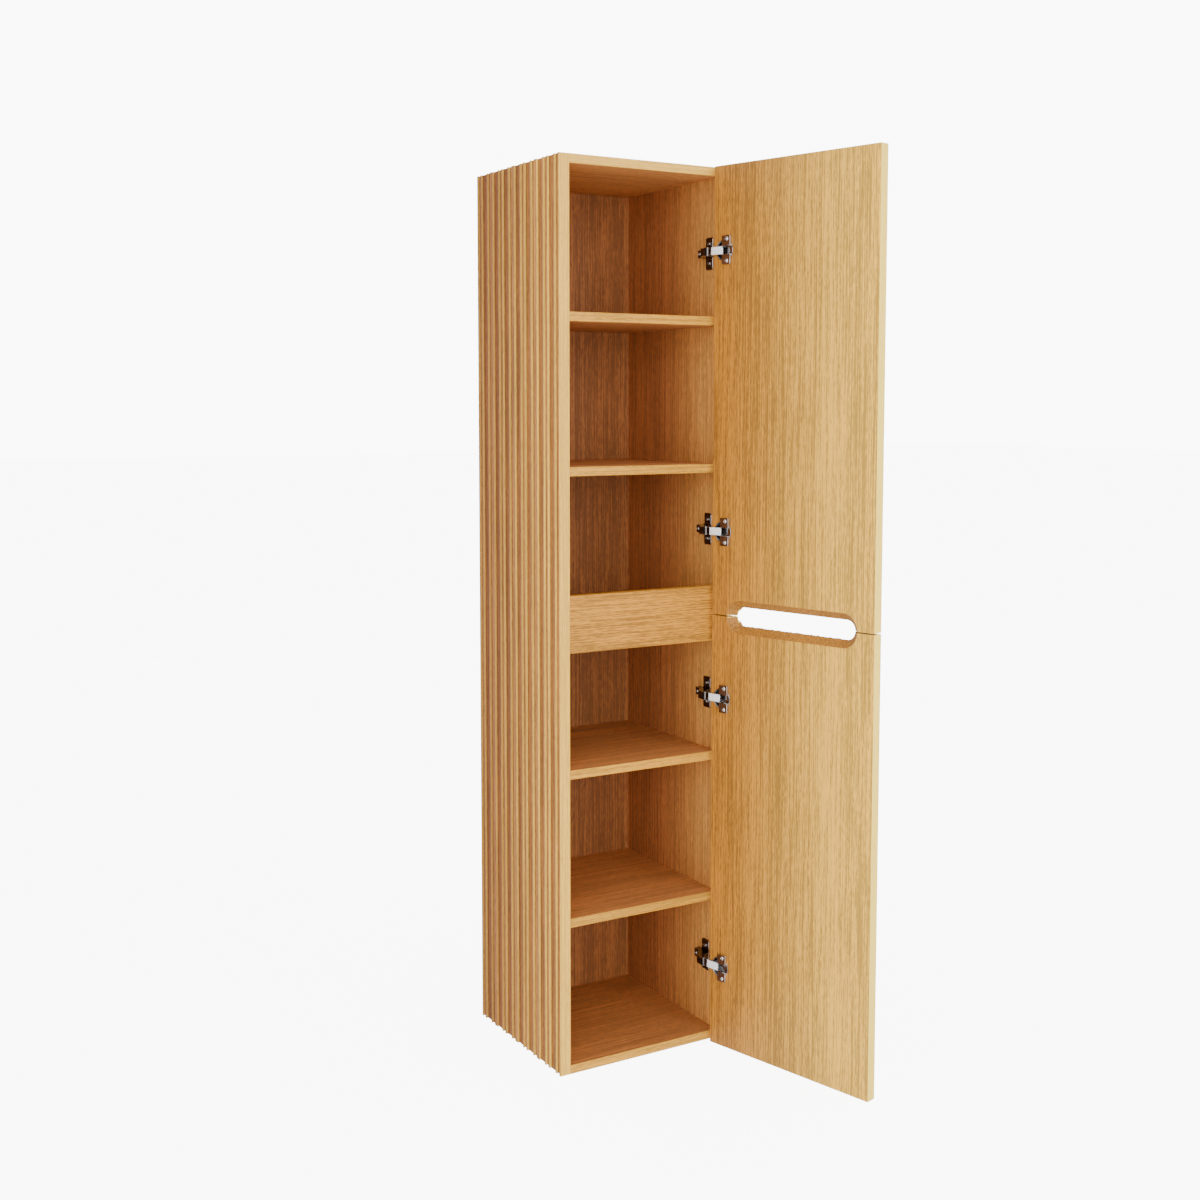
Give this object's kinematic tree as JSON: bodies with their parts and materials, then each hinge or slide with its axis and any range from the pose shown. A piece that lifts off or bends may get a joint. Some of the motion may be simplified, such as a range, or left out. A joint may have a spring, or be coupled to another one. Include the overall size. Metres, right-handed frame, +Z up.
{
  "type": "pantry cabinet",
  "caption": "Tall narrow wall-hung oak storage cabinet, fluted outside, with shelves, a centre rail and two hinged doors that share a finger slot.",
  "frame": {"origin": "centre of the carcass's underside, at the outside faces of its side panels, front edge and back panel", "axes": "+X to the cabinet's right as seen from the front, +Y towards the wall, +Z up"},
  "size_m": [0.393, 0.6282, 1.5],
  "materials": {
    "oak_fluted": "satin natural oak, fluted",
    "oak_board": "satin natural oak",
    "oak_inside": "satin natural oak",
    "oak_door": "satin natural oak",
    "dark_nickel": "polished nickel",
    "nickel": "polished nickel",
    "bright_steel": "bright nickel",
    "screw_steel": "bright nickel"
  },
  "bodies": {
    "cabinet": {"left_side_panel": "oak_fluted", "right_side_panel": "oak_fluted", "top_panel": "oak_board", "bottom_panel": "oak_board", "centre_rail": "oak_board", "back_panel": "oak_inside", "middle_shelf": "oak_inside", "shelf_1": "oak_inside", "shelf_2": "oak_inside", "shelf_3": "oak_inside", "shelf_4": "oak_inside", "hinge_1_mounting_plate": "dark_nickel", "hinge_1_arm": "dark_nickel", "hinge_1_arm_pin": "screw_steel", "hinge_1_plate_screw_upper": "screw_steel", "hinge_1_plate_screw_lower": "screw_steel", "hinge_1_arm_screw": "screw_steel", "hinge_2_mounting_plate": "dark_nickel", "hinge_2_arm": "dark_nickel", "hinge_2_arm_pin": "screw_steel", "hinge_2_plate_screw_upper": "screw_steel", "hinge_2_plate_screw_lower": "screw_steel", "hinge_2_arm_screw": "screw_steel", "hinge_3_mounting_plate": "dark_nickel", "hinge_3_arm": "dark_nickel", "hinge_3_arm_pin": "screw_steel", "hinge_3_plate_screw_upper": "screw_steel", "hinge_3_plate_screw_lower": "screw_steel", "hinge_3_arm_screw": "screw_steel", "hinge_4_mounting_plate": "dark_nickel", "hinge_4_arm": "dark_nickel", "hinge_4_arm_pin": "screw_steel", "hinge_4_plate_screw_upper": "screw_steel", "hinge_4_plate_screw_lower": "screw_steel", "hinge_4_arm_screw": "screw_steel"},
    "upper_hinge_links": {"hinge_1_link": "bright_steel", "hinge_2_link": "bright_steel"},
    "upper_door_leaf": {"upper_door": "oak_door", "hinge_1_cup": "nickel", "hinge_1_cup_pin": "screw_steel", "hinge_1_cup_screw_upper": "screw_steel", "hinge_1_cup_screw_lower": "screw_steel", "hinge_2_cup": "nickel", "hinge_2_cup_pin": "screw_steel", "hinge_2_cup_screw_upper": "screw_steel", "hinge_2_cup_screw_lower": "screw_steel"},
    "lower_hinge_links": {"hinge_3_link": "bright_steel", "hinge_4_link": "bright_steel"},
    "lower_door_leaf": {"lower_door": "oak_door", "hinge_3_cup": "nickel", "hinge_3_cup_pin": "screw_steel", "hinge_3_cup_screw_upper": "screw_steel", "hinge_3_cup_screw_lower": "screw_steel", "hinge_4_cup": "nickel", "hinge_4_cup_pin": "screw_steel", "hinge_4_cup_screw_upper": "screw_steel", "hinge_4_cup_screw_lower": "screw_steel"}
  },
  "joints": [
    {"name": "upper_link_swing", "type": "hinge", "parent": "cabinet", "child": "upper_hinge_links", "pos_m": [0.1215, -0.14617, 1.126], "axis": [0, 0, 1], "range_deg": [0, 53.7]},
    {"name": "upper_door_swing", "type": "hinge", "parent": "upper_hinge_links", "child": "upper_door_leaf", "pos_m": [0.13148, -0.17421, 1.126], "axis": [0, 0, 1], "range_deg": [-158.6, 0]},
    {"name": "lower_link_swing", "type": "hinge", "parent": "cabinet", "child": "lower_hinge_links", "pos_m": [0.1215, -0.14617, 0.374], "axis": [0, 0, 1], "range_deg": [0, 53.7]},
    {"name": "lower_door_swing", "type": "hinge", "parent": "lower_hinge_links", "child": "lower_door_leaf", "pos_m": [0.13148, -0.17421, 0.374], "axis": [0, 0, 1], "range_deg": [-158.6, 0]}
  ],
  "couplings": [
    {"joint": "upper_link_swing", "follows": "upper_door_swing", "ratio": -0.33819},
    {"joint": "lower_link_swing", "follows": "lower_door_swing", "ratio": -0.33819}
  ]
}
